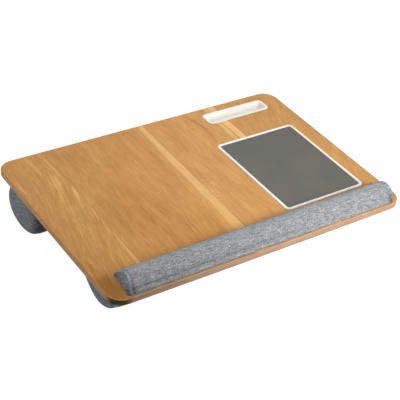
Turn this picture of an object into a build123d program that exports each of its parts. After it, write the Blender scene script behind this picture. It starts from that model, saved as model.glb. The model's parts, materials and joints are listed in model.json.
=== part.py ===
from build123d import *
from dataclasses import dataclass
import math
import os

os.makedirs("parts", exist_ok=True)

# A cushioned lap desk, in millimetres. Each piece is drawn in the deck frame: X to the user's right, Y to
# the rear, Z square to the board, from the middle of its top face. It is then tilted on to its cushions.

# Board: fibreboard core, faced on both sides and edged with a rounded strip
deck_width = 540.0
deck_depth = 362.0
deck_corner_radius = 25.0
core_thickness = 8.4
veneer_thickness = 0.8
liner_thickness = 0.8
band_thickness = 2.0
arris_radius = 1.5

# Mouse pad: a moulded tray with a rim, let into the board on pegs, and a pad in two layers
pad_tray_width = 159.0
pad_front_gap = 8.5
pad_right_margin = 31.5
pad_rear_margin = 105.0
pad_corner_radius = 9.0
pad_rim_width = 5.0
pad_rim_rise = 0.9
pad_rim_arris = 0.4
pad_tray_floor = 1.2
pad_set_down = 0.4
pad_backing_thickness = 1.2
pad_surface_thickness = 0.8
peg_radius = 2.5
peg_length = 3.5
peg_inset = 18.0

# Phone slot: a moulded trough with a flange, whose rear wall leans back for the phone to rest on
tray_width = 129.0
tray_depth = 30.5
tray_right_margin = 34.2
tray_rear_margin = 18.0
tray_corner_radius = 6.5
tray_rim_width = 5.0
tray_flange_thickness = 1.4
tray_arris = 0.6
tray_wall = 1.6
trough_corner_radius = 4.0
trough_lean = 3.4
trough_end_draft = 6.0
trough_front_draft = 0.6
skirt_height = 4.0
skirt_wall = 2.0

# Wrist rest: sewn fabric over foam, along the front edge of the top face
rest_end_margin = 23.0
rest_shift = 3.5
rest_width = 50.0
rest_height = 19.0
rest_crown_radius = 28.0
rest_shoulder_angle = 45.0
rest_front_margin = 2.5
rest_end_bulge = 4.0
rest_end_round = 3.0
rest_draw = 0.7

# Rear bolster: the tall cushion under the board
rear_end_margin = 5.0
rear_width = 77.0
rear_height = 60.0
rear_crown_radius = 72.0
rear_shoulder_angle = 25.0
rear_margin = 44.0
rear_end_bulge = 9.0
rear_end_round = 5.0
rear_draw = 1.0

# Front bolster: the low cushion under the board
front_end_margin = 2.6
front_width = 90.0
front_height = 20.6
front_crown_radius = 40.0
front_shoulder_angle = 20.0
front_margin = 1.5
front_end_bulge = 7.0
front_end_round = 4.0
front_draw = 1.0

# Sewn covers, foam, stiffening boards and tape, alike in all three cushions
fabric_thickness = 1.2
base_thickness = 2.5
base_side_gap = 10.0
base_end_gap = 6.0
tape_thickness = 0.4
tape_margin = 4.0
floor_squash = 1.4

# Fits
cutout_clearance = 0.3
peg_clearance = 0.1
peg_hole_spare = 0.5
pad_clearance = 0.2
foam_clearance = 0.2
cut_overrun = 1.0

# Where a cushion's outline is drawn, as shares of its half length and of its end's bulge and rounding.
# The lining follows the outside more coarsely, and lies a little deeper between the outlines.
station_shares = (-1.0, -0.55, 0.0, 0.55, 1.0)
lining_station_shares = (-1.0, 0.0, 1.0)
end_depth_shares = (0.0, 0.55, 1.0)
end_round_shares = (0.0, 0.3, 1.0)

# Sizes that follow from those above
deck_thickness = core_thickness + veneer_thickness + liner_thickness
panel_width = deck_width - 2 * band_thickness
panel_depth = deck_depth - 2 * band_thickness
panel_corner_radius = deck_corner_radius - band_thickness
pad_tray_depth = deck_depth - pad_rear_margin - pad_front_gap - rest_width - rest_front_margin
pad_stack = pad_surface_thickness + pad_backing_thickness
pad_floor_top = pad_rim_rise - pad_set_down - pad_stack
pad_layer_joint = pad_floor_top + pad_backing_thickness
pocket_floor = pad_floor_top - pad_tray_floor
pad_place = Pos(
    deck_width / 2 - pad_right_margin - pad_tray_width / 2,
    deck_depth / 2 - pad_rear_margin - pad_tray_depth / 2,
)
tray_place = Pos(
    deck_width / 2 - tray_right_margin - tray_width / 2,
    deck_depth / 2 - tray_rear_margin - tray_depth / 2,
)
trough_width = tray_width - 2 * tray_rim_width
trough_depth = tray_depth - 2 * tray_rim_width
trough_floor_top = tray_wall - deck_thickness
foam_inset = fabric_thickness + foam_clearance


@dataclass
class Bolster:
    """A cushion that lies along X with its flat side on the board, and rises from it along direction."""

    centre: float
    length: float
    width: float
    height: float
    crown_radius: float
    shoulder_angle: float
    middle: float
    seat: float
    direction: int
    end_bulge: float
    end_round: float
    draw: float

    @property
    def seam(self):
        """Distance from the middle to the seam that joins the sleeve and an end panel."""
        return self.length / 2 - self.end_bulge


wrist_rest = Bolster(
    centre=rest_shift,
    length=deck_width - 2 * rest_end_margin,
    width=rest_width,
    height=rest_height,
    crown_radius=rest_crown_radius,
    shoulder_angle=rest_shoulder_angle,
    middle=rest_front_margin + rest_width / 2 - deck_depth / 2,
    seat=0,
    direction=1,
    end_bulge=rest_end_bulge,
    end_round=rest_end_round,
    draw=rest_draw,
)
rear_cushion = Bolster(
    centre=0,
    length=deck_width - 2 * rear_end_margin,
    width=rear_width,
    height=rear_height,
    crown_radius=rear_crown_radius,
    shoulder_angle=rear_shoulder_angle,
    middle=deck_depth / 2 - rear_margin - rear_width / 2,
    seat=-deck_thickness,
    direction=-1,
    end_bulge=rear_end_bulge,
    end_round=rear_end_round,
    draw=rear_draw,
)
front_cushion = Bolster(
    centre=0,
    length=deck_width - 2 * front_end_margin,
    width=front_width,
    height=front_height,
    crown_radius=front_crown_radius,
    shoulder_angle=front_shoulder_angle,
    middle=front_margin + front_width / 2 - deck_depth / 2,
    seat=-deck_thickness,
    direction=-1,
    end_bulge=front_end_bulge,
    end_round=front_end_round,
    draw=front_draw,
)


def crown_centre(bolster):
    """Centre of the crown's arc at the middle of a cushion, across and square to the board."""
    rise = bolster.height - bolster.crown_radius
    return bolster.middle, bolster.seat + bolster.direction * rise


def standing_place(rear, front):
    """Tilt and lift that stand the board on the line that touches both crowns, pressed in by the squash."""
    rear_y, rear_z = crown_centre(rear)
    front_y, front_z = crown_centre(front)
    span_y = rear_y - front_y
    span_z = rear_z - front_z
    span = math.hypot(span_y, span_z)
    tilt = math.asin((rear.crown_radius - front.crown_radius) / span) - math.atan2(span_z, span_y)
    lift = rear.crown_radius - floor_squash - (rear_y * math.sin(tilt) + rear_z * math.cos(tilt))
    shift = -deck_thickness / 2 * math.sin(tilt)
    return Pos(0, shift, lift) * Rot(math.degrees(tilt), 0, 0)


deck_place = standing_place(rear_cushion, front_cushion)


def rounded_plate(width, depth, radius, top, bottom):
    """Flat plate with rounded plan corners, between two heights."""
    return extrude(Pos(0, 0, bottom) * RectangleRounded(width, depth, radius), top - bottom)


def board_layer(top, bottom):
    """One sheet of the board, inside the edging."""
    return rounded_plate(panel_width, panel_depth, panel_corner_radius, top, bottom)


def tray_cutout(top, bottom):
    """Straight-walled slot that the phone tray's skirt drops into."""
    grow = skirt_wall + cutout_clearance
    width = trough_width + 2 * grow
    depth = trough_depth + 2 * grow
    return tray_place * rounded_plate(width, depth, trough_corner_radius + grow, top, bottom)


def pad_cutout(top, bottom):
    """Pocket that the mouse pad's tray drops into."""
    width = pad_tray_width + 2 * cutout_clearance
    depth = pad_tray_depth + 2 * cutout_clearance
    return pad_place * rounded_plate(width, depth, pad_corner_radius + cutout_clearance, top, bottom)


def pegs(radius, top, bottom):
    """Four round pegs, or the holes for them, near the corners of the mouse pad's tray."""
    spread_x = pad_tray_width - 2 * peg_inset
    spread_y = pad_tray_depth - 2 * peg_inset
    centres = GridLocations(spread_x, spread_y, 2, 2)
    circles = Sketch() + [place * Circle(radius) for place in centres]
    return pad_place * extrude(Pos(0, 0, bottom) * circles, top - bottom)


def make_deck_core():
    core_top = -veneer_thickness
    core_bottom = liner_thickness - deck_thickness
    core = board_layer(core_top, core_bottom)
    core -= tray_cutout(core_top + cut_overrun, core_bottom - cut_overrun)
    core -= pad_cutout(core_top + cut_overrun, pocket_floor)
    hole_bottom = pocket_floor - peg_length - peg_hole_spare
    return core - pegs(peg_radius + peg_clearance, pocket_floor + cut_overrun, hole_bottom)


def make_top_veneer():
    veneer = board_layer(0, -veneer_thickness)
    veneer -= tray_cutout(cut_overrun, -veneer_thickness - cut_overrun)
    return veneer - pad_cutout(cut_overrun, -veneer_thickness - cut_overrun)


def make_bottom_liner():
    liner_top = liner_thickness - deck_thickness
    liner = board_layer(liner_top, -deck_thickness)
    return liner - tray_cutout(liner_top + cut_overrun, -deck_thickness - cut_overrun)


def make_edge_band():
    band = rounded_plate(deck_width, deck_depth, deck_corner_radius, 0, -deck_thickness)
    rims = band.edges().group_by(Axis.Z)
    band = fillet(rims[-1] + rims[0], arris_radius)
    return band - board_layer(cut_overrun, -deck_thickness - cut_overrun)


def make_mouse_pad_tray():
    tray = rounded_plate(pad_tray_width, pad_tray_depth, pad_corner_radius, pad_rim_rise, pocket_floor)
    inner_width = pad_tray_width - 2 * pad_rim_width
    inner_depth = pad_tray_depth - 2 * pad_rim_width
    inner_radius = pad_corner_radius - pad_rim_width
    tray -= rounded_plate(inner_width, inner_depth, inner_radius, pad_rim_rise + cut_overrun, pad_floor_top)
    tray = chamfer(tray.edges().group_by(Axis.Z)[-1], pad_rim_arris)
    return pad_place * tray + pegs(peg_radius, pocket_floor, pocket_floor - peg_length)


def pad_sheet(top, bottom):
    """One layer of the mouse pad, inside the rim of its tray."""
    shrink = pad_rim_width + pad_clearance
    width = pad_tray_width - 2 * shrink
    depth = pad_tray_depth - 2 * shrink
    return pad_place * rounded_plate(width, depth, pad_corner_radius - shrink, top, bottom)


def trough(grow, top, bottom):
    """Tapering hollow of the phone slot, or its outside when grown by the wall."""
    half_width = trough_width / 2 + grow
    half_depth = trough_depth / 2 + grow
    floor_half = half_width - trough_end_draft
    floor_front = trough_front_draft - half_depth
    floor_rear = half_depth - trough_lean
    long_side = [(-half_width, top), (-floor_half, bottom), (floor_half, bottom), (half_width, top)]
    short_side = [(-half_depth, top), (floor_front, bottom), (floor_rear, bottom), (half_depth, top)]
    lengthways = extrude(Plane.XZ * Polygon(*long_side, align=None), half_depth, both=True)
    across = extrude(Plane.YZ * Polygon(*short_side, align=None), half_width, both=True)
    hollow = lengthways & across
    return fillet(hollow.edges().group_by(Axis.Z)[1], trough_corner_radius + grow)


def make_phone_tray():
    flange = rounded_plate(tray_width, tray_depth, tray_corner_radius, tray_flange_thickness, 0)
    flange = chamfer(flange.edges().group_by(Axis.Z)[-1], tray_arris)
    skirt_width = trough_width + 2 * skirt_wall
    skirt_depth = trough_depth + 2 * skirt_wall
    skirt = rounded_plate(skirt_width, skirt_depth, trough_corner_radius + skirt_wall, 0, -skirt_height)
    skirt -= rounded_plate(trough_width, trough_depth, trough_corner_radius, 0, -skirt_height)
    body = flange + skirt + trough(tray_wall, 0, -deck_thickness)
    return tray_place * (body - trough(0, tray_flange_thickness, trough_floor_top))


def section(bolster, station, inset):
    """Outline of a cushion square to its length: a flat seat, two sides and a crown, tangent to each other.
    An inset draws the sides and the crown in by the same distance, about the same centres."""
    angle = math.radians(bolster.shoulder_angle)
    normal = Vector(math.sin(angle), math.cos(angle))
    crown_middle = Vector(0, bolster.height - bolster.crown_radius)
    shoulder = crown_middle + normal * bolster.crown_radius
    fall = Vector(bolster.width / 2, 0) - shoulder
    side_radius = -fall.dot(fall) / (2 * fall.dot(normal))
    side_middle = shoulder - normal * side_radius
    shoulder -= normal * inset
    top = crown_middle + Vector(0, bolster.crown_radius - inset)
    half = side_middle.X + math.sqrt((side_radius - inset) ** 2 - side_middle.Y ** 2)
    crown = ThreePointArc((-shoulder.X, shoulder.Y), top, shoulder)
    right = TangentArc(shoulder, (half, 0), tangent=(normal.Y, -normal.X))
    left = mirror(right, Plane.YZ)
    seat = Line((-half, 0), (half, 0))
    outline = make_face([seat, *right.edges(), *crown.edges(), *left.edges()])
    origin = (bolster.centre + station, bolster.middle, bolster.seat)
    return Plane(origin, x_dir=(0, bolster.direction, 0), z_dir=(1, 0, 0)) * outline


def sleeve(bolster, inset, shares):
    """Body of a cushion between its seams, fullest in the middle and drawn in towards the seams."""
    outlines = []
    for share in shares:
        outlines.append(section(bolster, bolster.seam * share, bolster.draw * share ** 2 + inset))
    return loft(outlines, ruled=True)


def lining(bolster, inset):
    """Inside of a cushion's sleeve, at an inset from the outside."""
    return sleeve(bolster, inset, lining_station_shares)


def below(height):
    """Block that fills the space under a level height, as large as any cushion."""
    margin = deck_width + deck_depth
    return Pos(0, 0, height - margin / 2) * Box(margin, margin, margin)


def standing(shape, height):
    """A shape of the deck frame, tilted into place and cut flat at a height above the floor."""
    return deck_place * shape - below(height)


def seat_plate(bolster, margin, low, high):
    """Flat plate inside a cushion, parallel to the board, between two distances from it."""
    width = bolster.width - 2 * (fabric_thickness + base_side_gap + margin)
    length = 2 * (bolster.seam - base_end_gap - margin)
    middle = bolster.seat + bolster.direction * (low + high) / 2
    return deck_place * Pos(bolster.centre, bolster.middle, middle) * Box(length, width, high - low)


def make_foam(bolster):
    """Foam block that fills the cover down to the stiffening board."""
    block = lining(bolster, foam_inset)
    base_top = tape_thickness + base_thickness
    middle = bolster.seat + bolster.direction * base_top / 2
    block -= Pos(bolster.centre, bolster.middle, middle) * Box(bolster.length, 2 * bolster.width, base_top)
    return standing(block, foam_inset)


def make_cover(bolster):
    """Fabric sleeve of a cushion, open at both ends and flat where it rests."""
    inside = standing(lining(bolster, fabric_thickness), fabric_thickness)
    return standing(sleeve(bolster, 0, station_shares), 0) - inside


def make_end(bolster, side):
    """Panel that closes one end of a cushion, domed over its wadding: side 1 is the right, -1 the left."""
    outlines = []
    for depth_share, round_share in zip(end_depth_shares, end_round_shares):
        reach = bolster.seam + bolster.end_bulge * depth_share
        drawn_in = bolster.draw + bolster.end_round * round_share
        outlines.append(section(bolster, side * reach, drawn_in))
    return standing(loft(outlines[::side], ruled=True), 0)


def make_cushion(name, bolster):
    """All the pieces of one cushion, by node name."""
    base_top = tape_thickness + base_thickness
    return {
        f"{name}_cover": make_cover(bolster),
        f"{name}_left_end": make_end(bolster, -1),
        f"{name}_right_end": make_end(bolster, 1),
        f"{name}_foam": make_foam(bolster),
        f"{name}_base": seat_plate(bolster, 0, tape_thickness, base_top),
        f"{name}_tape": seat_plate(bolster, tape_margin, 0, tape_thickness),
    }


pieces = {
    "deck_core": deck_place * make_deck_core(),
    "top_veneer": deck_place * make_top_veneer(),
    "bottom_liner": deck_place * make_bottom_liner(),
    "edge_band": deck_place * make_edge_band(),
    "mouse_pad_tray": deck_place * make_mouse_pad_tray(),
    "mouse_pad_backing": deck_place * pad_sheet(pad_layer_joint, pad_floor_top),
    "mouse_pad_surface": deck_place * pad_sheet(pad_floor_top + pad_stack, pad_layer_joint),
    "phone_tray": deck_place * make_phone_tray(),
    **make_cushion("wrist_rest", wrist_rest),
    **make_cushion("rear_cushion", rear_cushion),
    **make_cushion("front_cushion", front_cushion),
}

for node, piece in pieces.items():
    export_step(piece, f"parts/{node}.step")
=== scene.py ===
import json
import math

import bmesh
import bpy
import numpy as np
from mathutils import Matrix, Vector


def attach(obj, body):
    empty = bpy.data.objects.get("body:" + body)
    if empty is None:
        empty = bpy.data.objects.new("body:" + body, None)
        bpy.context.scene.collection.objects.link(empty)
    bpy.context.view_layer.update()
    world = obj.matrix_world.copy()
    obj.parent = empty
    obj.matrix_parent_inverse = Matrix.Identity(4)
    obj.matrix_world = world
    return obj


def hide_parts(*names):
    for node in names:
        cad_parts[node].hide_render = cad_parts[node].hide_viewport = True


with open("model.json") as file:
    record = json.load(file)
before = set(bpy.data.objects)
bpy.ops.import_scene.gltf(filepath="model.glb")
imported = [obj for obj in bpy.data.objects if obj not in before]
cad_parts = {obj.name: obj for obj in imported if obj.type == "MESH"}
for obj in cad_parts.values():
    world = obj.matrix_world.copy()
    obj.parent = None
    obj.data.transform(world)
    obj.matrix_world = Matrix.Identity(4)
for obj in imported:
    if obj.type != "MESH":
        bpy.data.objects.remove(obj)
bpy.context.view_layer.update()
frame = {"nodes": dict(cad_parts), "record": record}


# Board core: a panel of pressed wood fibre that carries everything else, cut through for the phone slot and
# pocketed for the mouse pad. It slopes down to the user, so the pieces on it are drawn in its own frame:
# x to the right, u to the rear and w square to its top face, from the middle of that face.
board_up = Vector(next(m["axis"] for m in frame["record"]["mounts"] if m["name"] == "mouse_face"))
slope = math.atan2(-board_up.y, board_up.z)
slope_turn = Matrix.Rotation(slope, 4, "X")
level_points = [slope_turn.inverted() @ v.co for v in frame["nodes"]["top_veneer"].data.vertices]
level_u = [point.y for point in level_points]
board_origin = Vector((0, (min(level_u) + max(level_u)) / 2, max(point.z for point in level_points)))
board = slope_turn @ Matrix.Translation(board_origin)


class Wire:
    """One output of a material's nodes. Sums on it add Math nodes, and node() adds any other node."""

    def __init__(self, tree, socket=None):
        self.tree = tree
        self.socket = socket

    def node(self, kind, settings, sockets, output=0):
        node = self.tree.nodes.new(f"ShaderNode{kind}")
        for name, value in settings.items():
            if name == "stops":
                ramp = node.color_ramp
                for place, colour in value[1:-1]:
                    ramp.elements.new(place)
                for element, (place, colour) in zip(ramp.elements, value):
                    element.position = place
                    element.color = colour
            else:
                setattr(node, name, value)
        for name, value in sockets.items():
            if isinstance(value, Wire):
                self.tree.links.new(value.socket, node.inputs[name])
            else:
                node.inputs[name].default_value = value
        return Wire(self.tree, node.outputs[output])

    def math(self, operation, first, second=0.0):
        return self.node("Math", {"operation": operation}, {0: first, 1: second})

    def __add__(self, other):
        return self.math("ADD", self, other)

    def __radd__(self, other):
        return self.math("ADD", other, self)

    def __sub__(self, other):
        return self.math("SUBTRACT", self, other)

    def __rsub__(self, other):
        return self.math("SUBTRACT", other, self)

    def __mul__(self, other):
        return self.math("MULTIPLY", self, other)

    def __rmul__(self, other):
        return self.math("MULTIPLY", other, self)

    def __gt__(self, other):
        return self.math("GREATER_THAN", self, other)

    def rise(self, low, high):
        """0 below low, 1 above high, and a smooth rise between them. High may be the lower of the two."""
        ends = {"From Min": low, "From Max": high}
        return self.node("MapRange", {"interpolation_type": "SMOOTHSTEP"}, {"Value": self, **ends})

    def between(self, first, second, way="MIX"):
        """Colour that goes from first to second as this value goes from 0 to 1."""
        return self.node("Mix", {"data_type": "RGBA", "blend_type": way}, {0: self, 6: first, 7: second}, 2)

    def tint(self, colour, red, green, blue):
        """Colour that is multiplied by a tint as this value goes from 0 to 1."""
        return self.between(colour, (red, green, blue, 1.0), "MULTIPLY")

    def noise(self, place, scale, detail=2.0, rough=0.5):
        """Cloudy value about one half, at a place that is a vector."""
        sockets = {"Vector": place, "Scale": scale, "Detail": detail, "Roughness": rough}
        return self.node("TexNoise", {}, sockets, "Fac")

    def vector(self, x, y, z=0.0):
        return self.node("CombineXYZ", {}, {"X": x, "Y": y, "Z": z})

    def feed(self, shader, name):
        self.tree.links.new(self.socket, shader.inputs[name])

    def bump(self, shader, strength, distance):
        """Makes this value the height of the surface's small relief."""
        sockets = {"Strength": strength, "Distance": distance, "Height": self}
        self.node("Bump", {}, sockets, "Normal").feed(shader, "Normal")


def paint(red, green, blue):
    """Colour as the shader takes it, from the eight-bit values of a screen."""
    screen = [value / 255 for value in (red, green, blue)]
    linear = [s / 12.92 if s <= 0.04045 else ((s + 0.055) / 1.055) ** 2.4 for s in screen]
    return (*linear, 1.0)


def new_finish(name, fixed):
    """A new material, its shader with the values that are the same all over, and a start for its nodes."""
    material = bpy.data.materials.new(name)
    material.use_nodes = True
    shader = material.node_tree.nodes["Principled BSDF"]
    for socket, value in fixed.items():
        shader.inputs[socket].default_value = value
    return material, shader, Wire(material.node_tree)


def board_coordinates(start):
    """x, u and w of a point of the surface, in metres."""
    here = start.node("TexCoord", {}, {}, "Object")
    origin = board @ Vector((0, 0, 0))
    sockets = {"Vector": here, "Location": origin, "Rotation": (slope, 0, 0)}
    place = start.node("Mapping", {"vector_type": "TEXTURE"}, sockets)
    return [place.node("SeparateXYZ", {}, {"Vector": place}, axis) for axis in "XYZ"]


def dress(material, *nodes):
    """Gives CAD nodes a material."""
    for node in nodes:
        slots = frame["nodes"][node].data.materials
        slots.clear()
        slots.append(material)


fibre, fibre_shader, start = new_finish("fibreboard", {"Specular IOR Level": 0.2})
x, u, w = board_coordinates(start)
flakes = start.noise(start.vector(x, u, w * 3), 900, 4)
clouds = start.noise(start.vector(x, u, w), 40, 3)
fibre_tone = flakes * 0.7 + clouds * 0.3
fibre_tone.rise(0.3, 0.7).between(paint(140, 108, 76), paint(186, 150, 110)).feed(fibre_shader, "Base Color")
(flakes * 0.15 + 0.75).feed(fibre_shader, "Roughness")
fibre_tone.bump(fibre_shader, 0.4, 0.0004)
dress(fibre, "deck_core")


# Bottom liner: a thin balancing sheet, bonded under the core so that the board stays flat. It is a matt
# paper printed in a quiet wood tone.
liner, liner_shader, start = new_finish("balancing_sheet", {"Specular IOR Level": 0.25})
x, u, w = board_coordinates(start)
liner_streaks = start.noise(start.vector(x * 260, u * 9), 1.0, 3)
liner_clouds = start.noise(start.vector(x * 12, u * 3), 1.0, 2)
liner_fibres = start.noise(start.vector(x, u), 2600, 2)
liner_tone = liner_streaks * 0.55 + liner_clouds * 0.45
liner_tone.rise(0.3, 0.7).between(paint(168, 132, 96), paint(196, 160, 120)).feed(liner_shader, "Base Color")
(liner_fibres * 0.2 + 0.6).feed(liner_shader, "Roughness")
liner_fibres.bump(liner_shader, 0.25, 0.0002)
dress(liner, "bottom_liner")


# Top veneer: four planks of oak-look sheet, laid with the grain from front to rear and satin lacquered. Each
# joint has a strip of pale sapwood at its left. The first plank's grain runs aslant and the last one's more
# so, and the third has the loops of a cathedral figure. The front left corner is darkened with painted
# shade.
plank_joints = (-0.191, -0.0045, 0.1415)
joint_pivot, joint_slant = -0.13, 0.012
oak, oak_shader, start = new_finish("oak_veneer", {"Specular IOR Level": 0.22})
x, u, w = board_coordinates(start)
plank_x = x - (u - joint_pivot) * joint_slant
first_plank = 1 - (plank_x > plank_joints[0])
right_planks = plank_x > plank_joints[1]
last_plank = plank_x > plank_joints[2]
plank = 1 - first_plank + right_planks + last_plank
wander = start.noise(start.vector(x * 11, u * 7, plank * 5.3), 1.0, 2) - 0.5
first_bend = start.node("Math", {"operation": "SMOOTH_MIN"}, {0: u, 1: 0.10, 2: 0.06})
grain_x = x + wander * 0.018 - first_plank * first_bend * 0.22 - last_plank * u * 0.40


def grain(across, along, seed, detail, rough=0.5):
    """Noise drawn out along the grain, from its waves to the metre across the grain and along it."""
    return start.noise(start.vector(grain_x * across, u * along, plank * seed), 1.0, detail, rough)


def spot(x, u, place_x, place_u, half_x, half_u):
    """1 in the middle of an oval of the board's top, and 0 outside it."""
    off_x, off_u = (x - place_x) * (1 / half_x), (u - place_u) * (1 / half_u)
    return (off_x * off_x + off_u * off_u).rise(1.0, 0.2)


def near_line(off, outer, inner):
    """1 within an inner distance of a line, and 0 beyond an outer one."""
    return (off * off).rise(outer ** 2, inner ** 2)


def front_to_rear(front, rear):
    """Value that runs evenly from the front of the open wood to its rear."""
    return u.node("MapRange", {}, {"Value": u, 1: -0.12, 2: 0.17, 3: front, 4: rear})


fine = grain(800, 50, 3.1, 3, 0.65) - 0.5
strokes = grain(380, 28, 7.7, 3, 0.7) - 0.5
threads = grain(560, 14, 8.2, 2, 0.6) - 0.5
veins = grain(80, 11, 2.3, 2, 0.6) - 0.5
cloud = start.noise(start.vector(x * 26, u * 17, plank * 6.1), 1.0, 2) - 0.5
patchy = start.noise(start.vector(x * 22, u * 9, plank * 4.4), 1.0, 1).rise(0.48, 0.62)
dark_lines = grain(420, 8, 1.7, 2, 0.7).rise(0.62, 0.74) * patchy
pores = grain(1300, 80, 4.9, 1).rise(0.62, 0.74)
tone = fine * 0.42 + strokes * 0.40 + threads * 0.28 + veins * 0.28 + cloud * 0.20
tone = tone - dark_lines * 0.12 - pores * 0.08 + 0.515

# Pale flames and feathers on the first plank, a drying check on the second, loops and an arc on the third.
flames = start.noise(start.vector(grain_x * 125, u * 10, 8.8), 1.0, 3, 0.6).rise(0.44, 0.70)
by_first_sap = x.rise(-0.214, -0.205) * u.rise(-0.055, -0.095)
flames = flames * x.rise(-0.240, -0.208) * (1 - by_first_sap) * first_plank
feathers = start.noise(start.vector(grain_x * 190, u * 13, 2.6), 1.0, 3, 0.65).rise(0.52, 0.70) * first_plank
loop_x, loop_u = x - 0.027, u + 0.022
loop_run = loop_u - loop_x * loop_x * 130 + wander * 0.02
loops = start.noise(start.vector(loop_run * 130, loop_x * 30, 3.3), 1.0, 2, 0.6) - 0.5
loops = loops * spot(x, u, 0.024, 0.010, 0.030, 0.055)
arc_u = u - 0.118
arc = near_line(x - 0.092 + arc_u * arc_u * 3.4 + wander * 0.006, 0.0045, 0.0008)
arc = arc * spot(x, u, 0.088, 0.130, 0.03, 0.055)
check = near_line(x + 0.075 + wander * 0.006, 0.0011, 0.0003) * spot(x, u, -0.075, -0.088, 0.01, 0.026)
tone = tone + flames * 0.22 + feathers * 0.16 + loops * 0.42 - arc * 0.16 - check * 0.24
tone = tone - spot(x, u, -0.135, -0.02, 0.05, 0.08) * 0.05 - spot(x, u, -0.123, -0.036, 0.012, 0.030) * 0.08
wood_stops = [
    (0.18, paint(156, 102, 46)),
    (0.42, paint(189, 134, 72)),
    (0.58, paint(203, 149, 84)),
    (0.90, paint(236, 187, 120)),
]
wood = tone.node("ValToRGB", {"stops": wood_stops}, {"Fac": tone}, "Color")

# Sapwood at the left of each joint, with a pale shoulder at the middle one and a stripe beside the last.
sap = 0
joint = 0
sap_widths = ((0.008, -0.024), (0.019, 0.010), (0.012, 0.012))
sap_strengths = (0.85, 0.95, 0.95)
for place, (front_width, rear_width), strength in zip(plank_joints, sap_widths, sap_strengths):
    sap_start = place - front_to_rear(front_width, rear_width) + veins * 0.012 + strokes * 0.012
    beside = plank_x.rise(place + 0.0002, place - 0.0004)
    sap = sap + (plank_x - sap_start).rise(-0.003, 0.004) * beside * strength
    joint = joint + plank_x.rise(place - 0.0004, place) * plank_x.rise(place + 0.0010, place + 0.0004)
shoulder_x = plank_x - plank_joints[1] + front_to_rear(0.034, 0.013) + strokes * 0.03
shoulder = shoulder_x.rise(-0.006, 0.008) * (1 - right_planks)
stripe_x = plank_x + veins * 0.006 + strokes * 0.004
stripe = stripe_x.rise(0.1170, 0.1200) * stripe_x.rise(0.1272, 0.1248)
sap = start.math("MAXIMUM", sap, shoulder * 0.32 + stripe * 0.55)
sap_tone = (fine * 0.6 + strokes * 0.6 + 0.5).rise(0.2, 0.8)
sap_wood = sap_tone.between(paint(222, 175, 112), paint(242, 198, 136))
wood = (sap * 0.85).between(wood, sap_wood)
wood = (joint * 0.35).between(wood, paint(128, 84, 44))
wood = (u.rise(0.06, -0.14) * (1 - right_planks)).tint(wood, 0.97, 0.93, 0.80)
wood = right_planks.tint(wood, 1.08, 1.12, 1.24)
wood = last_plank.tint(wood, 0.95, 0.94, 0.95)
# Painted shade: darker, more golden wood at the front left corner beside the wrist rest's end, and
# rearwards.
painted_corner_shade = x.rise(-0.240, -0.252) * u.rise(-0.112, -0.134)
painted_corner_shade = start.math("MAXIMUM", painted_corner_shade, spot(x, u, -0.258, -0.115, 0.006, 0.035) * 0.5)
wood = painted_corner_shade.tint(wood, 0.58, 0.49, 0.15)
wood.feed(oak_shader, "Base Color")
(fine * 0.25 + pores * 0.10 + 0.52).feed(oak_shader, "Roughness")
(fine * 0.5 - pores * 0.8 - joint).bump(oak_shader, 0.25, 0.00022)
dress(oak, "top_veneer")


# Edging: a wood strip of 2 mm glued round the edge of the board, with both its arrises rounded over.
# It is swept round the board's outline, and its grain runs along it. The top arris is toned as the veneer.
board_width, board_depth, board_corner = 0.540, 0.362, 0.025
board_thickness = 0.010
edging_thickness = 0.002
arris = 0.0015


def rounded_loop(width, depth, radius, steps=12):
    """Points round a rectangle with rounded corners, anticlockwise from the right-hand side."""
    points = []
    for corner, (side_x, side_y) in enumerate(((1, 1), (-1, 1), (-1, -1), (1, -1))):
        for step in range(steps + 1):
            angle = math.pi / 2 * (corner + step / steps)
            across = side_x * (width / 2 - radius) + radius * math.cos(angle)
            along = side_y * (depth / 2 - radius) + radius * math.sin(angle)
            points.append(Vector((across, along, 0)))
    return points


def quarter(steps=5):
    """Sines and cosines of a quarter turn, for rounding an edge."""
    return [(math.sin(a), math.cos(a)) for a in (math.pi / 2 * i / steps for i in range(steps + 1))]


def add_piece(name, mesh, material):
    """Puts a finished mesh of the row frame in the scene, shaded smooth, on the object's one body."""
    mesh.materials.append(material)
    mesh.shade_smooth()
    piece = bpy.data.objects.new(name, mesh)
    bpy.context.scene.collection.objects.link(piece)
    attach(piece, "root")
    return piece


def ring_mesh(name, rings, close_tube=False):
    """Mesh through closed rings of the board's frame. A tube joins its last ring to its first, and any other
    mesh is capped. Its UV map gives metres round the rings and metres across them."""
    count = len(rings[0])
    around = [0.0]
    for here, after in zip(rings[0], rings[0][1:] + rings[0][:1]):
        around.append(around[-1] + (after - here).length)
    across = [0.0]
    for here, after in zip(rings, rings[1:] + rings[:1]):
        across.append(across[-1] + (after[0] - here[0]).length)
    shape = bmesh.new()
    uv = shape.loops.layers.uv.new("run")
    grid = [[shape.verts.new(board @ point) for point in ring] for ring in rings]
    spans = len(rings) if close_tube else len(rings) - 1
    for i in range(spans):
        for j in range(count):
            corners = [(i, j), (i, j + 1), (i + 1, j + 1), (i + 1, j)]
            face = shape.faces.new([grid[a % len(rings)][b % count] for a, b in corners])
            for loop, (a, b) in zip(face.loops, corners):
                loop[uv].uv = (around[b], across[a])
    if not close_tube:
        shape.faces.new(grid[0])
        shape.faces.new(grid[-1])
    bmesh.ops.recalc_face_normals(shape, faces=shape.faces)
    mesh = bpy.data.meshes.new(name)
    shape.to_mesh(mesh)
    shape.free()
    return mesh


def crisp(piece):
    """Keeps flat faces flat beside rounded edges."""
    piece.modifiers.new("flat faces", "WEIGHTED_NORMAL").weight = 100


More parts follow.
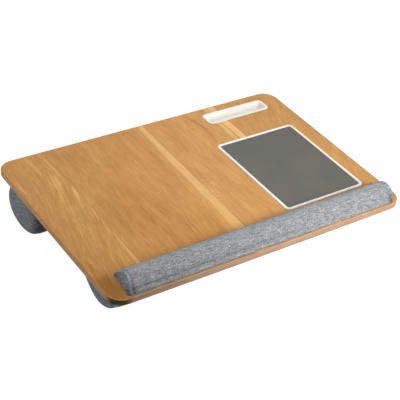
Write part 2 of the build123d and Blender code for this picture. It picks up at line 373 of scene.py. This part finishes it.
edging_profile = [(edging_thickness, 0)]
edging_profile += [(arris - arris * s, arris * c - arris) for s, c in quarter()]
edging_profile += [(arris - arris * c, arris - arris * s - board_thickness) for s, c in quarter()]
edging_profile += [(edging_thickness, -board_thickness)]
edging_rings = []
for inset, height in edging_profile:
    outline = rounded_loop(board_width - 2 * inset, board_depth - 2 * inset, board_corner - inset)
    edging_rings.append([point + Vector((0, 0, height)) for point in outline])
edging, edging_shader, start = new_finish("oak_edging", {"Specular IOR Level": 0.2})
run = start.node("UVMap", {"uv_map": "run"}, {})
along, across = (run.node("SeparateXYZ", {}, {"Vector": run}, axis) for axis in "XY")
edge_streak = start.noise(start.vector(along * 14, across * 900), 1.0, 3, 0.6)
edge_cloud = start.noise(start.vector(along * 30, across * 120), 1.0, 2)
edge_pores = start.noise(start.vector(along * 90, across * 2200), 1.0, 1).rise(0.62, 0.75)
edge_tone = edge_streak * 0.6 + edge_cloud * 0.4 - edge_pores * 0.12
edge_wood = edge_tone.rise(0.30, 0.70).between(paint(184, 145, 112), paint(213, 175, 143))
x, u, w = board_coordinates(start)
# Painted light: the left side of the edging is tinted more golden than the rest of the strip.
edge_wood = x.rise(-0.262, -0.269).tint(edge_wood, 1.16, 1.07, 0.84)
# Painted shade: the front of the edging darkens towards its left end.
painted_front_left_shade = u.rise(-0.170, -0.178) * x.rise(-0.05, -0.23)
edge_wood = painted_front_left_shade.tint(edge_wood, 0.78, 0.80, 0.82)
# Painted shade: a dark brown patch on the edging's front left corner, below its top arris.
edge_wood = spot(x, u, -0.263, -0.180, 0.027, 0.022).tint(edge_wood, 0.13, 0.08, 0.02)
top_streak = start.noise(start.vector(x * 300, u * 6), 1.0, 3, 0.65)
top_wood = top_streak.rise(0.3, 0.7).between(paint(178, 124, 64), paint(208, 154, 88))
# Painted shade: the top arris along the rear of the board is darkened.
top_wood = u.rise(0.1785, 0.1805).between(top_wood, paint(136, 104, 70))
front_run = u.rise(-0.1770, -0.1785) * x.rise(-0.248, -0.238)
edge_wood = (w.rise(-0.0014, -0.0005) * (1 - front_run)).between(edge_wood, top_wood)
edge_wood.feed(edging_shader, "Base Color")
(edge_streak * 0.2 + 0.35).feed(edging_shader, "Roughness")
edge_tone.bump(edging_shader, 0.2, 0.0002)
strip = add_piece("edging_strip", ring_mesh("edging_strip", edging_rings, close_tube=True), edging)
crisp(strip)
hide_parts("edge_band")


# Mouse pad tray: a white injection moulding with a rim, pressed into its pocket in the board on four pegs.
# The rim stands a little proud of the wood and has soft edges all round.
pad_tray_width, pad_tray_depth, pad_tray_corner = 0.159, 0.196, 0.009
pad_tray_x, pad_tray_u = 0.159, -0.022
pad_tray_bottom, pad_tray_floor, pad_tray_top = -0.0027, -0.0015, 0.0009
pad_tray_chamfer = 0.0004
pad_rim_width, pad_rim_round = 0.005, 0.0007
white, white_shader, start = new_finish("white_moulding", {"Specular IOR Level": 0.5})
here = start.node("TexCoord", {}, {}, "Object")
mould_grain = start.noise(here, 2600, 2)
mould_cloud = start.noise(here, 30, 2)
moulding = mould_cloud.rise(0.3, 0.7).between(paint(238, 234, 226), paint(244, 241, 234))
x, u, w = board_coordinates(start)
# Painted shade: the moulding is a little darker and greyer below the board's top, deep in the trough.
moulding = w.rise(-0.001, -0.006).between(moulding, paint(230, 231, 226))
moulding.feed(white_shader, "Base Color")
(mould_grain * 0.14 + 0.30).feed(white_shader, "Roughness")
mould_grain.bump(white_shader, 0.12, 0.00006)


def tray_rings(steps, x, u):
    """Rings round a moulding, from steps of width, depth, corner radius, shift to the rear and height."""
    rings = []
    for width, depth, radius, shift, height in steps:
        place = Vector((x, u + shift, height))
        rings.append([point + place for point in rounded_loop(width, depth, radius)])
    return rings


rim_shoulder = pad_tray_top - pad_rim_round
rim_inner = pad_rim_width - pad_rim_round
pad_profile = [(pad_tray_chamfer, pad_tray_bottom), (0, pad_tray_bottom + pad_tray_chamfer)]
pad_profile += [(pad_rim_round - pad_rim_round * c, rim_shoulder + pad_rim_round * s) for s, c in quarter()]
pad_profile += [(rim_inner + pad_rim_round * s, rim_shoulder + pad_rim_round * c) for s, c in quarter()]
pad_profile += [(pad_rim_width, pad_tray_floor)]
pad_steps = [
    (pad_tray_width - 2 * inset, pad_tray_depth - 2 * inset, pad_tray_corner - inset, 0, height)
    for inset, height in pad_profile
]
pad_rings = tray_rings(pad_steps, pad_tray_x, pad_tray_u)
pad_tray = add_piece("mouse_pad_frame", ring_mesh("mouse_pad_frame", pad_rings), white)
crisp(pad_tray)
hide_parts("mouse_pad_tray")


# Mouse pad: a rubber sheet with a grey, finely grained skin, cut to the tray. Both are bonded on the tray's
# floor, and the skin ends a little below the rim.
rubber, rubber_shader, start = new_finish("pad_rubber", {"Specular IOR Level": 0.2})
here = start.node("TexCoord", {}, {}, "Object")
rubber_cells = start.noise(here, 1400, 3)
rubber_cells.between(paint(42, 42, 42), paint(62, 62, 60)).feed(rubber_shader, "Base Color")
(rubber_cells * 0.2 + 0.7).feed(rubber_shader, "Roughness")
rubber_cells.bump(rubber_shader, 0.3, 0.0003)
dress(rubber, "mouse_pad_backing")
skin, skin_shader, start = new_finish("pad_skin", {"Specular IOR Level": 0.12})
x, u, w = board_coordinates(start)
skin_grain = start.noise(start.vector(x, u, w), 1900, 3)
skin_cloud = start.noise(start.vector(x, u, w), 16, 2)
skin_tone = skin_grain * 0.5 + skin_cloud * 0.5
skin_tone.rise(0.3, 0.7).between(paint(99, 100, 95), paint(107, 106, 99)).feed(skin_shader, "Base Color")
(skin_grain * 0.2 + 0.5).feed(skin_shader, "Roughness")
skin_grain.bump(skin_shader, 0.3, 0.00012)
dress(skin, "mouse_pad_surface")


# Phone slot: a white moulded trough with a flange, dropped through the board. Its ends and its rear wall
# lean out, so that a phone stands in it tilted back, and its floor is rounded into its walls.
slot_width, slot_depth, slot_corner = 0.128, 0.0305, 0.0092
slot_x, slot_u = 0.1718, 0.14775
flange_top, flange_rim, flange_round = 0.0014, 0.005, 0.0008
mouth_corner, lip_round, floor_round = 0.004, 0.0009, 0.0022
trough_floor, trough_bottom = -0.0084, -0.010
floor_draft, floor_narrowing, floor_shift = 0.012, 0.004, -0.0014
slot_wall = 0.0016
skirt_wall, skirt_bottom = 0.002, -0.004
mouth_width, mouth_depth = slot_width - 2 * flange_rim, slot_depth - 2 * flange_rim


def trough_step(height, low, high, grow):
    """Size of the trough at a height, between its floor and its mouth."""
    share = (high - height) / (high - low)
    width = mouth_width - floor_draft * share + 2 * grow
    depth = mouth_depth - floor_narrowing * share + 2 * grow
    return width, depth, mouth_corner + grow, floor_shift * share, height


slot_steps = [trough_step(trough_bottom, trough_bottom, 0, slot_wall)]
slot_steps += [trough_step(skirt_bottom, trough_bottom, 0, slot_wall)]
skirt = (mouth_width + 2 * skirt_wall, mouth_depth + 2 * skirt_wall, mouth_corner + skirt_wall, 0)
slot_steps += [(*skirt, skirt_bottom), (*skirt, 0)]
slot_steps += [(slot_width, slot_depth, slot_corner, 0, 0)]
for s, c in quarter():
    inset = flange_round - flange_round * c
    height = flange_top - flange_round + flange_round * s
    slot_steps += [(slot_width - 2 * inset, slot_depth - 2 * inset, slot_corner - inset, 0, height)]
for s, c in quarter():
    height = flange_top - lip_round + lip_round * c
    slot_steps += [trough_step(height, trough_floor, flange_top, lip_round - lip_round * s)]
for s, c in quarter():
    height = trough_floor + floor_round - floor_round * s
    slot_steps += [trough_step(height, trough_floor, flange_top, floor_round * c - floor_round)]
slot_rings = tray_rings(slot_steps, slot_x, slot_u)
slot = add_piece("phone_slot", ring_mesh("phone_slot", slot_rings), white)
crisp(slot)
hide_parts("phone_tray")


# Wrist rest: foam under a sleeve of heathered fabric, sewn to a panel at each end and bonded along the front
# of the board. Its front is tucked in along a crease a little above the board, and its ends stand aslant.
rest_form = {
    "centre": 0.00525, "length": 0.4925, "width": 0.0535, "height": 0.0192, "crown": 0.028,
    "shoulder": math.radians(45), "middle": -0.1519, "seat": 0.0, "side": 1,
    "bulge": 0.0065, "round": 0.002, "draw": 0.0004, "slack": 0.0004, "tuck": 0.0009, "gather": 0.75,
    "leans": ((0.0060, 2), (-0.0065, 0.6)), "skews": (0.0045, 0.006),
    "step": 0.005, "skin_steps": 58, "seat_steps": 12,
}
rest_crease = {
    "rise": 0.0068, "spread": 0.0013, "depth": 0.0048, "lip_rise": 0.0036, "lip": 0.0010,
    "places": (-0.243, -0.225, 0.03, 0.12, 0.243), "shares": (0.3, 1.0, 1.0, 0.35, 0.15),
}


def skin_outline(form, inset):
    """A cushion's outline square to its length, as distances across and up from its seat. It runs over the
    skin from one edge of the seat to the other, and back along the seat. An inset draws the skin in."""
    normal = np.array([math.sin(form["shoulder"]), math.cos(form["shoulder"])])
    crown_middle = np.array([0, form["height"] - form["crown"]])
    shoulder_point = crown_middle + normal * form["crown"]
    fall = np.array([form["width"] / 2, 0]) - shoulder_point
    full_side = -(fall @ fall) / (2 * fall @ normal)
    side_middle = shoulder_point - normal * full_side
    side, crown = full_side - inset, form["crown"] - inset
    low = math.asin(-side_middle[1] / side)
    high = math.pi / 2 - form["shoulder"]
    side_run, crown_run = side * (high - low), crown * form["shoulder"]
    points = []
    for share in np.linspace(-1, 1, form["skin_steps"] + 1):
        run = (1 - abs(share)) * (side_run + crown_run)
        if run < side_run:
            middle, radius, angle = side_middle, side, low + run / side
        else:
            middle, radius, angle = crown_middle, crown, high + (run - side_run) / crown
        point = middle + radius * np.array([math.cos(angle), math.sin(angle)])
        points.append((-math.copysign(point[0], share), point[1]))
    seat = np.linspace(points[-1][0], points[0][0], form["seat_steps"] + 1)[1:-1]
    return np.array(points + [(across, 0.0) for across in seat])


def cushion_grid(form, crease):
    """A cushion's rings: its sleeve's from left to right, then each end panel's from its rim inwards. Gives
    the places of the sleeve's rings, each ring's place and outline, and how firmly its points are held."""
    near_seam, open_from = np.array([0.0, 0.0012, 0.0026, 0.0046, 0.0076]), 0.0116
    tuck_reach = 0.0016
    rim_shares, face_shares = (0.10, 0.30, 0.60, 1.0), (0.80, 0.58, 0.36, 0.15)
    face_crown, face_middle_share = 0.0006, 0.42
    seam = form["length"] / 2 - form["bulge"]
    open_run = seam - open_from
    inner = np.linspace(open_run, 0, max(2, int(round(open_run / form["step"])) + 1))
    half = np.concatenate([seam - near_seam, inner])
    stations = np.concatenate([-half, half[::-1][1:]])
    on_seat = np.arange(form["skin_steps"] + form["seat_steps"]) >= form["skin_steps"]
    on_seat[0] = True
    rings, pins = [], []
    for place in stations:
        from_seam = seam - abs(place)
        tuck = form["tuck"] * math.exp(-(from_seam / tuck_reach) ** 2)
        outline = skin_outline(form, form["draw"] * (place / seam) ** 2 + form["slack"] + tuck)
        pin = np.where(on_seat, 1.0, 1.0 if from_seam < 1e-6 else 0.0)
        if crease:
            up, in_front = outline[:, 1], outline[:, 0] < 0
            line = np.exp(-((up - crease["rise"]) / crease["spread"]) ** 2) * in_front
            lip = np.exp(-((up - crease["lip_rise"]) / crease["spread"]) ** 2) * in_front
            share = np.interp(place, crease["places"], crease["shares"])
            outline[:, 0] += (line * crease["depth"] - lip * crease["lip"]) * share
            pin = np.maximum(pin, np.where(line > 0.5, share, 0))
        rings.append((place, outline))
        pins.append(pin)
    sewn = skin_outline(form, form["draw"] + form["slack"])
    half_size = np.array([form["width"] / 2, form["height"]])
    face_middle = np.array([0, form["height"] * face_middle_share])
    for side in (-1, 1):
        for share in rim_shares:
            place = side * (seam + form["bulge"] * math.sqrt(1 - (1 - share) ** 2))
            rim = sewn * (1 - form["round"] * share / half_size)
            rings.append((place, rim))
            pins.append(np.where(on_seat, 1.0, 0.0))
        for share in face_shares:
            place = side * (seam + form["bulge"] + face_crown * (1 - share))
            rings.append((place, face_middle + (rim - face_middle) * share))
            pins.append(np.zeros(len(rim)))
    return stations, rings, pins


def keep_under_corner(point, up):
    """Draws a point of a cushion in under the board's rounded corner, most of all close to the board."""
    margin, fade = 0.002, 0.010
    past_x = abs(point.x) - (board_width / 2 - board_corner)
    past_u = abs(point.y) - (board_depth / 2 - board_corner)
    if past_x > 0 and past_u > 0:
        reach = math.hypot(past_x, past_u)
        out = max(0, reach - board_corner + margin) * max(0, 1 - up / fade) ** 2
        point.x -= math.copysign(past_x * out / reach, point.x)
        point.y -= math.copysign(past_u * out / reach, point.y)


def painted_seam_shade_at(form, place, across, up):
    """How much painted shade darkens a point of a cushion's lower corners, beside its end seams."""
    sleeve_reach, panel_reach = 0.004, 0.012
    past_seam = abs(place) - (form["length"] / 2 - form["bulge"])
    from_seam = min(0, past_seam) / sleeve_reach
    from_side = (form["width"] / 2 - abs(across)) / panel_reach if past_seam > 0 else 0
    return form["gather"] * max(0, 1 - up / form["height"]) * math.exp(-from_seam ** 2 - from_side ** 2)


def cushion_mesh(name, form, crease=None):
    """Closed quad mesh of a cushion, with its weave's UV map and the strength of its seams. Gives also how
    firmly its points are held, the number of its sleeve's rings and the points to a ring."""
    end_power, seam_strength, panel_offset = 24, 0.4, 0.4
    stations, rings, pins = cushion_grid(form, crease)
    count = len(rings[0][1])
    sleeve_rings = len(stations)
    end_rings = (len(rings) - sleeve_rings) // 2
    shape = bmesh.new()
    weave = shape.loops.layers.uv.new("weave")
    seam_crease = shape.edges.layers.float.new("crease_edge")
    grid = []
    for place, outline in rings:
        row = []
        for across, up in outline:
            reach, power = form["leans"][place > 0]
            lean = math.copysign(1, place) * reach * max(0, up / form["height"]) ** power
            skew = form["skews"][place > 0] * across / form["width"]
            near_end = (abs(place) / form["length"] * 2) ** end_power
            along = form["centre"] + place + (skew - lean) * near_end
            point = Vector((along, form["middle"] + form["side"] * across, form["seat"] + form["side"] * up))
            keep_under_corner(point, up)
            row.append(shape.verts.new(board @ point))
        grid.append(row)
    girth = [0.0]
    middle_ring = rings[sleeve_rings // 2][1]
    for here, after in zip(middle_ring, np.roll(middle_ring, -1, axis=0)):
        girth.append(girth[-1] + float(np.hypot(*(after - here))))

    def join(first, second, offset):
        """Faces between two rings. An end panel's cloth lies at an offset, and the sleeve's at none."""
        for j in range(count):
            places = ((first, j), (first, j + 1), (second, j + 1), (second, j))
            face = shape.faces.new([grid[ring][column % count] for ring, column in places])
            for loop, (ring, column) in zip(face.loops, places):
                place, outline = rings[ring]
                if offset:
                    loop[weave].uv = tuple(outline[column % count] + offset)
                else:
                    loop[weave].uv = (place, girth[column])

    for i in range(sleeve_rings - 1):
        join(i, i + 1, 0)
    for side, seam_ring in ((0, 0), (1, sleeve_rings - 1)):
        first = sleeve_rings + side * end_rings
        last = first + end_rings - 1
        join(seam_ring, first, panel_offset + side)
        for i in range(first, last):
            join(i, i + 1, panel_offset + side)
        cap = shape.faces.new(grid[last])
        for loop, point in zip(cap.loops, rings[last][1]):
            loop[weave].uv = tuple(point + panel_offset + side)
        for j in range(count):
            edge = shape.edges.get((grid[seam_ring][j], grid[seam_ring][(j + 1) % count]))
            edge[seam_crease] = seam_strength
    bmesh.ops.recalc_face_normals(shape, faces=shape.faces)
    mesh = bpy.data.meshes.new(name)
    shape.to_mesh(mesh)
    shape.free()
    painted_seam_shades = [painted_seam_shade_at(form, place, across, up) for place, outline in rings for across, up in outline]
    mesh.attributes.new("gather", "FLOAT", "POINT").data.foreach_set("value", painted_seam_shades)
    return mesh, np.concatenate(pins), sleeve_rings, count


def inflate(mesh, pins, pressure, reach):
    """Swells a cushion by a cloth simulation, with its seat and seams held and no point moved past reach."""
    settle_frames = 20
    before = np.array([v.co for v in mesh.vertices])
    cushion = bpy.data.objects.new("inflating", mesh)
    bpy.context.scene.collection.objects.link(cushion)
    group = cushion.vertex_groups.new(name="sewn")
    for index, pin in enumerate(pins):
        group.add([index], float(pin), "REPLACE")
    cloth = cushion.modifiers.new("filling", "CLOTH")
    cloth.settings.quality = 6
    cloth.settings.mass = 0.25
    cloth.settings.tension_stiffness = 25
    cloth.settings.compression_stiffness = 10
    cloth.settings.shear_stiffness = 6
    cloth.settings.bending_stiffness = 0.4
    cloth.settings.use_pressure = True
    cloth.settings.uniform_pressure_force = pressure
    cloth.settings.vertex_group_mass = "sewn"
    cloth.settings.effector_weights.gravity = 0
    cloth.collision_settings.use_collision = False
    scene = bpy.context.scene
    for number in range(1, settle_frames + 1):
        scene.frame_set(number)
    swollen = cushion.evaluated_get(bpy.context.evaluated_depsgraph_get())
    moved = np.array([v.co for v in swollen.data.vertices]) - before
    scene.frame_set(1)
    far = np.linalg.norm(moved, axis=1, keepdims=True)
    moved *= np.minimum(1, reach / np.maximum(far, 1e-9))
    bpy.data.objects.remove(cushion)
    mesh.vertices.foreach_set("co", (before + moved).astype(np.float32).ravel())
    mesh.update()


def finish_cushion(name, form, mesh, material, on_floor):
    """Smooths an inflated cushion, keeps it out of the board and the floor, and adds it to the scene."""
    rough = bpy.data.objects.new(name + "_rough", mesh)
    bpy.context.scene.collection.objects.link(rough)
    smooth = rough.modifiers.new("smooth", "SUBSURF")
    smooth.levels = smooth.render_levels = 1
    smooth.boundary_smooth = "ALL"
    evaluated = rough.evaluated_get(bpy.context.evaluated_depsgraph_get())
    done = bpy.data.meshes.new_from_object(evaluated)
    done.name = name
    bpy.data.objects.remove(rough)
    to_board = board.inverted()
    for vertex in done.vertices:
        point = to_board @ vertex.co
        if form["side"] * (point.z - form["seat"]) < 0:
            point.z = form["seat"]
            vertex.co = board @ point
        if on_floor and vertex.co.z < 0:
            vertex.co.z = 0
    done.materials.clear()
    return add_piece(name, done, material)


fabric, fabric_shader, start = new_finish(
    "heathered_fabric",
    {"Specular IOR Level": 0.15, "Sheen Weight": 0.35, "Sheen Roughness": 0.5, "Roughness": 0.9},
)
cloth_uv = start.node("UVMap", {"uv_map": "weave"}, {})
warp, weft = (cloth_uv.node("SeparateXYZ", {}, {"Vector": cloth_uv}, axis) for axis in "XY")
yarn_pitch = 0.0011
yarn_turn = 2 * math.pi / yarn_pitch


def flecks(along, across, seed, detail, rough=0.5):
    """Noise about 0 on the cloth, from its waves to the metre along the cushion and across it."""
    return start.noise(start.vector(warp * along, weft * across, seed), 1.0, detail, rough) - 0.5


blotches = flecks(430, 430, 9.0, 3, 0.75)
warp_flecks = flecks(240, 820, 0.0, 2, 0.6)
weft_flecks = flecks(1100, 280, 4.0, 2, 0.6)
slubs = flecks(85, 400, 7.0, 2, 0.6)
drift = flecks(110, 110, 2.0, 2)
over = start.math("SINE", warp * yarn_turn) * start.math("SINE", weft * yarn_turn)
melange = blotches * 0.38 + warp_flecks * 0.40 + weft_flecks * 0.48 + slubs * 0.36 + drift * 0.20
melange = melange + over * 0.02 + 0.5
yarn_stops = [
    (0.26, paint(50, 60, 80)),
    (0.44, paint(132, 138, 144)),
    (0.56, paint(172, 175, 176)),
    (0.74, paint(234, 233, 228)),
]
yarn = melange.node("ValToRGB", {"stops": yarn_stops}, {"Fac": melange}, "Color")
on_end_panel = warp > 0.3
yarn = on_end_panel.tint(yarn, 0.96, 1.02, 1.08)
# Painted shade: the cloth is darkened low down beside the end seams, most at the wrist rest.
gather = start.node("Attribute", {"attribute_name": "gather"}, {}, "Fac")
yarn = gather.tint(yarn, 0.08, 0.08, 0.09)
yarn.feed(fabric_shader, "Base Color")
(over * 0.5 + melange * 1.2).bump(fabric_shader, 0.5, 0.0004)

rest_mesh, rest_pins, rest_rings, rest_count = cushion_mesh("wrist_rest", rest_form, rest_crease)
inflate(rest_mesh, rest_pins, pressure=4.0, reach=0.0014)
rest = finish_cushion("wrist_rest", rest_form, rest_mesh, fabric, False)
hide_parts("wrist_rest_cover", "wrist_rest_left_end", "wrist_rest_right_end", "wrist_rest_foam")


# Stitches: short runs of grey polyester thread over the skin of each cushion, beside the seams that join its
# sleeve to its end panels. One node tree sets a bead for each stitch along a line on the skin.
thread, thread_shader, start = new_finish("sewing_thread", {"Specular IOR Level": 0.3})
here = start.node("TexCoord", {}, {}, "Object")
twist = start.noise(here, 2200, 2)
twist.rise(0.3, 0.7).between(paint(104, 110, 120), paint(140, 145, 152)).feed(thread_shader, "Base Color")
(twist * 0.2 + 0.6).feed(thread_shader, "Roughness")

sewing = bpy.data.node_groups.new("sewing", "GeometryNodeTree")
sewing.interface.new_socket("Line", in_out="INPUT", socket_type="NodeSocketGeometry")
sewing_inputs = {}
for title in ("Pitch", "Length", "Thread"):
    socket = sewing.interface.new_socket(title, in_out="INPUT", socket_type="NodeSocketFloat")
    sewing_inputs[title] = socket.identifier
sewing.interface.new_socket("Stitches", in_out="OUTPUT", socket_type="NodeSocketGeometry")
given, made = (sewing.nodes.new(kind) for kind in ("NodeGroupInput", "NodeGroupOutput"))
sewing_stages = (
    "MeshToCurve", "CurveToPoints", "MeshUVSphere", "Transform",
    "InstanceOnPoints", "RealizeInstances", "SetMaterial",
)
curve, points, bead, shaped, placed, real, coloured = (
    sewing.nodes.new(f"GeometryNode{kind}") for kind in sewing_stages
)
bead_size = sewing.nodes.new("ShaderNodeCombineXYZ")
vary = sewing.nodes.new("FunctionNodeRandomValue")
points.mode = "LENGTH"
for setting, value in (("Segments", 6), ("Rings", 4), ("Radius", 0.5)):
    bead.inputs[setting].default_value = value
vary.inputs[2].default_value, vary.inputs[3].default_value = 0.88, 1.08
vary.inputs["Seed"].default_value = 5
coloured.inputs["Material"].default_value = thread
for output, target in (
    (given.outputs["Line"], curve.inputs["Mesh"]),
    (curve.outputs["Curve"], points.inputs["Curve"]),
    (given.outputs["Pitch"], points.inputs["Length"]),
    (given.outputs["Thread"], bead_size.inputs["X"]),
    (given.outputs["Thread"], bead_size.inputs["Y"]),
    (given.outputs["Length"], bead_size.inputs["Z"]),
    (bead.outputs["Mesh"], shaped.inputs["Geometry"]),
    (bead_size.outputs["Vector"], shaped.inputs["Scale"]),
    (points.outputs["Points"], placed.inputs["Points"]),
    (points.outputs["Rotation"], placed.inputs["Rotation"]),
    (vary.outputs[1], placed.inputs["Scale"]),
    (shaped.outputs["Geometry"], placed.inputs["Instance"]),
    (placed.outputs["Instances"], real.inputs["Geometry"]),
    (real.outputs["Geometry"], coloured.inputs["Geometry"]),
    (coloured.outputs["Geometry"], made.inputs["Stitches"]),
):
    sewing.links.new(output, target)


def sew_ends(name, cushion, form, rings, count):
    """Sews a row of stitches over a cushion's skin beside each of its end seams, clear of the floor."""
    from_seam, lift, floor_clearance = 2, 0.0001, 0.002
    places, pairs = [], []
    for ring in (from_seam, rings - 1 - from_seam):
        joined = False
        for column in range(1, form["skin_steps"]):
            vertex = cushion.data.vertices[ring * count + column]
            if vertex.co.z < floor_clearance:
                joined = False
                continue
            places.append(vertex.co + vertex.normal * lift)
            if joined:
                pairs.append((len(places) - 2, len(places) - 1))
            joined = True
    seam_lines = bpy.data.meshes.new(name)
    seam_lines.from_pydata(places, pairs, [])
    seam = bpy.data.objects.new(name + "_line", seam_lines)
    bpy.context.scene.collection.objects.link(seam)
    stitching = seam.modifiers.new("sewing", "NODES")
    stitching.node_group = sewing
    for title, value in (("Pitch", 0.0042), ("Length", 0.0030), ("Thread", 0.0007)):
        stitching[sewing_inputs[title]] = value
    evaluated = seam.evaluated_get(bpy.context.evaluated_depsgraph_get())
    stitches = bpy.data.meshes.new_from_object(evaluated)
    stitches.name = name
    stitches.materials.clear()
    bpy.data.objects.remove(seam)
    add_piece(name, stitches, thread)


sew_ends("wrist_rest_stitches", rest, rest_form, rest_rings, rest_count)


# Rear bolster: the tall round cushion that raises the back of the board, made as the wrist rest is. It is
# flat where it is bonded under the board and where it rests.
rear_form = {
    "centre": 0.0, "length": 0.536, "width": 0.078, "height": 0.060, "crown": 0.072,
    "shoulder": math.radians(25), "middle": 0.0985, "seat": -0.010, "side": -1,
    "bulge": 0.012, "round": 0.009, "draw": 0.0010, "slack": 0.0, "tuck": 0.0005, "gather": 0.1,
    "leans": ((0.0, 1), (0.0, 1)), "skews": (0.0, 0.0),
    "step": 0.006, "skin_steps": 40, "seat_steps": 14,
}
rear_mesh, rear_pins, rear_rings, rear_count = cushion_mesh("rear_bolster", rear_form)
inflate(rear_mesh, rear_pins, pressure=4.0, reach=0.0020)
rear = finish_cushion("rear_bolster", rear_form, rear_mesh, fabric, True)
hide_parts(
    "rear_cushion_cover", "rear_cushion_left_end", "rear_cushion_right_end", "rear_cushion_foam"
)
sew_ends("rear_bolster_stitches", rear, rear_form, rear_rings, rear_count)


# Front bolster: the low, flat cushion under the front edge, made as the rear one is. It keeps in under the
# board's round corners.
front_form = {
    "centre": -0.0046, "length": 0.5285, "width": 0.0900, "height": 0.0210, "crown": 0.040,
    "shoulder": math.radians(20), "middle": -0.1358, "seat": -0.010, "side": -1,
    "bulge": 0.009, "round": 0.0032, "draw": 0.0005, "slack": -0.0005, "tuck": 0.0005, "gather": 0.1,
    "leans": ((0.0, 1), (0.0, 1)), "skews": (-0.004, -0.006),
    "step": 0.006, "skin_steps": 36, "seat_steps": 14,
}
front_mesh, front_pins, front_rings, front_count = cushion_mesh("front_bolster", front_form)
inflate(front_mesh, front_pins, pressure=4.0, reach=0.0016)
front = finish_cushion("front_bolster", front_form, front_mesh, fabric, True)
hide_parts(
    "front_cushion_cover", "front_cushion_left_end", "front_cushion_right_end", "front_cushion_foam"
)
sew_ends("front_bolster_stitches", front, front_form, front_rings, front_count)


# Stiffening boards and tape: inside each cushion, a strip of fibreboard that the fabric is turned round, and
# the double-sided tape that holds it to the board. They are hidden, and keep their solids.
tape, tape_shader, start = new_finish("bonding_tape", {"Specular IOR Level": 0.3})
here = start.node("TexCoord", {}, {}, "Object")
tape_film = start.noise(here, 300, 3)
tape_film.between(paint(214, 210, 198), paint(230, 227, 218)).feed(tape_shader, "Base Color")
(tape_film * 0.2 + 0.4).feed(tape_shader, "Roughness")
for cushion_name in ("wrist_rest", "rear_cushion", "front_cushion"):
    dress(fibre, f"{cushion_name}_base")
    dress(tape, f"{cushion_name}_tape")


# Studio: a pale floor with the object's soft shadow, a white surround, a large soft light overhead, a key
# light at the front right, a weak one at the left, and the camera where the photograph was taken from.
floor_half, floor_level = 4.0, -0.0003
floor_grey, floor_glow, floor_bounce = 0.12, 0.965, 0.32
surround_light = 0.08


def fresh_tree(owner, output_kind):
    """Clears a material's or a world's nodes. Gives a start for new ones, and its new output."""
    owner.use_nodes = True
    owner.node_tree.nodes.clear()
    return Wire(owner.node_tree), owner.node_tree.nodes.new(output_kind)


def seen_directly(start):
    """1 where a surface is seen, also in a reflection or through glass, and 0 where it only gives light."""
    ways = ("Is Camera Ray", "Is Glossy Ray", "Is Transmission Ray")
    camera_ray, glossy_ray, glass_ray = (start.node("LightPath", {}, {}, way) for way in ways)
    return start.math("MINIMUM", camera_ray + glossy_ray + glass_ray, 1.0)


floor_signs = ((-1, -1), (1, -1), (1, 1), (-1, 1))
floor_points = [(a * floor_half, b * floor_half, floor_level) for a, b in floor_signs]
floor_mesh = bpy.data.meshes.new("floor")
floor_mesh.from_pydata(floor_points, [], [(0, 1, 2, 3)])
floor = bpy.data.objects.new("floor", floor_mesh)
bpy.context.scene.collection.objects.link(floor)
pale = bpy.data.materials.new("pale_floor")
start, pale_output = fresh_tree(pale, "ShaderNodeOutputMaterial")
matt = start.node("BsdfDiffuse", {}, {"Color": (floor_grey, floor_grey, floor_grey, 1)})
glow = start.node("Emission", {}, {"Color": (1, 1, 1, 1), "Strength": floor_glow})
white_sweep = start.node("AddShader", {}, {0: matt, 1: glow})
plain_floor = start.node("BsdfDiffuse", {}, {"Color": (floor_bounce, floor_bounce, floor_bounce, 1)})
surface = start.node("MixShader", {}, {0: seen_directly(start), 1: plain_floor, 2: white_sweep})
surface.feed(pale_output, "Surface")
floor_mesh.materials.append(pale)

world = bpy.data.worlds.new("white_surround")
bpy.context.scene.world = world
start, world_output = fresh_tree(world, "ShaderNodeOutputWorld")
surround_strength = seen_directly(start) * (1 - surround_light) + surround_light
surround = start.node("Background", {}, {"Color": (1, 1, 1, 1), "Strength": surround_strength})
surround.feed(world_output, "Surface")

for name, place, target, size, spread, power, tint in (
    ("high_softbox", (0.30, 0.10, 1.70), (0, 0, 0.03), 1.6, 180, 17.6, (1.0, 1.0, 1.0)),
    ("key_softbox", (0.50, -1.30, 0.50), (0.14, -0.15, 0.02), 0.5, 42, 1.36, (1.0, 0.99, 0.97)),
    ("left_softbox", (-1.00, 0.45, 0.55), (-0.20, 0, 0.03), 0.8, 180, 3.0, (1.0, 1.0, 1.0)),
):
    lamp = bpy.data.lights.new(name, "AREA")
    lamp.shape = "SQUARE"
    lamp.size = size
    lamp.spread = math.radians(spread)
    lamp.energy = power
    lamp.color = tint
    softbox = bpy.data.objects.new(name, lamp)
    bpy.context.scene.collection.objects.link(softbox)
    softbox.location = place
    softbox.visible_camera = False
    aim = Vector(target) - Vector(place)
    softbox.rotation_euler = aim.to_track_quat("-Z", "Y").to_euler()

lens = bpy.data.cameras.new("photo_camera")
lens.lens = 98.836
lens.sensor_width = 36.0
camera = bpy.data.objects.new("photo_camera", lens)
bpy.context.scene.collection.objects.link(camera)
camera_place = (-0.892157, -1.252365, 0.86137)
camera_right = Vector((0.82046, -0.57145, 0.0168))
camera_up = Vector((0.26255, 0.40273, 0.87685))
turn_right, turn_up = 0.00023, -0.00046
camera_back = camera_right.cross(camera_up)
camera_back = (camera_back + camera_right * turn_right + camera_up * turn_up).normalized()
camera_right = (camera_right - camera_back * camera_right.dot(camera_back)).normalized()
camera_up = camera_back.cross(camera_right)
camera_turn = Matrix((camera_right, camera_up, camera_back)).transposed().to_4x4()
camera.matrix_world = Matrix.Translation(camera_place) @ camera_turn
bpy.context.scene.camera = camera
bpy.context.scene.view_settings.view_transform = "Standard"
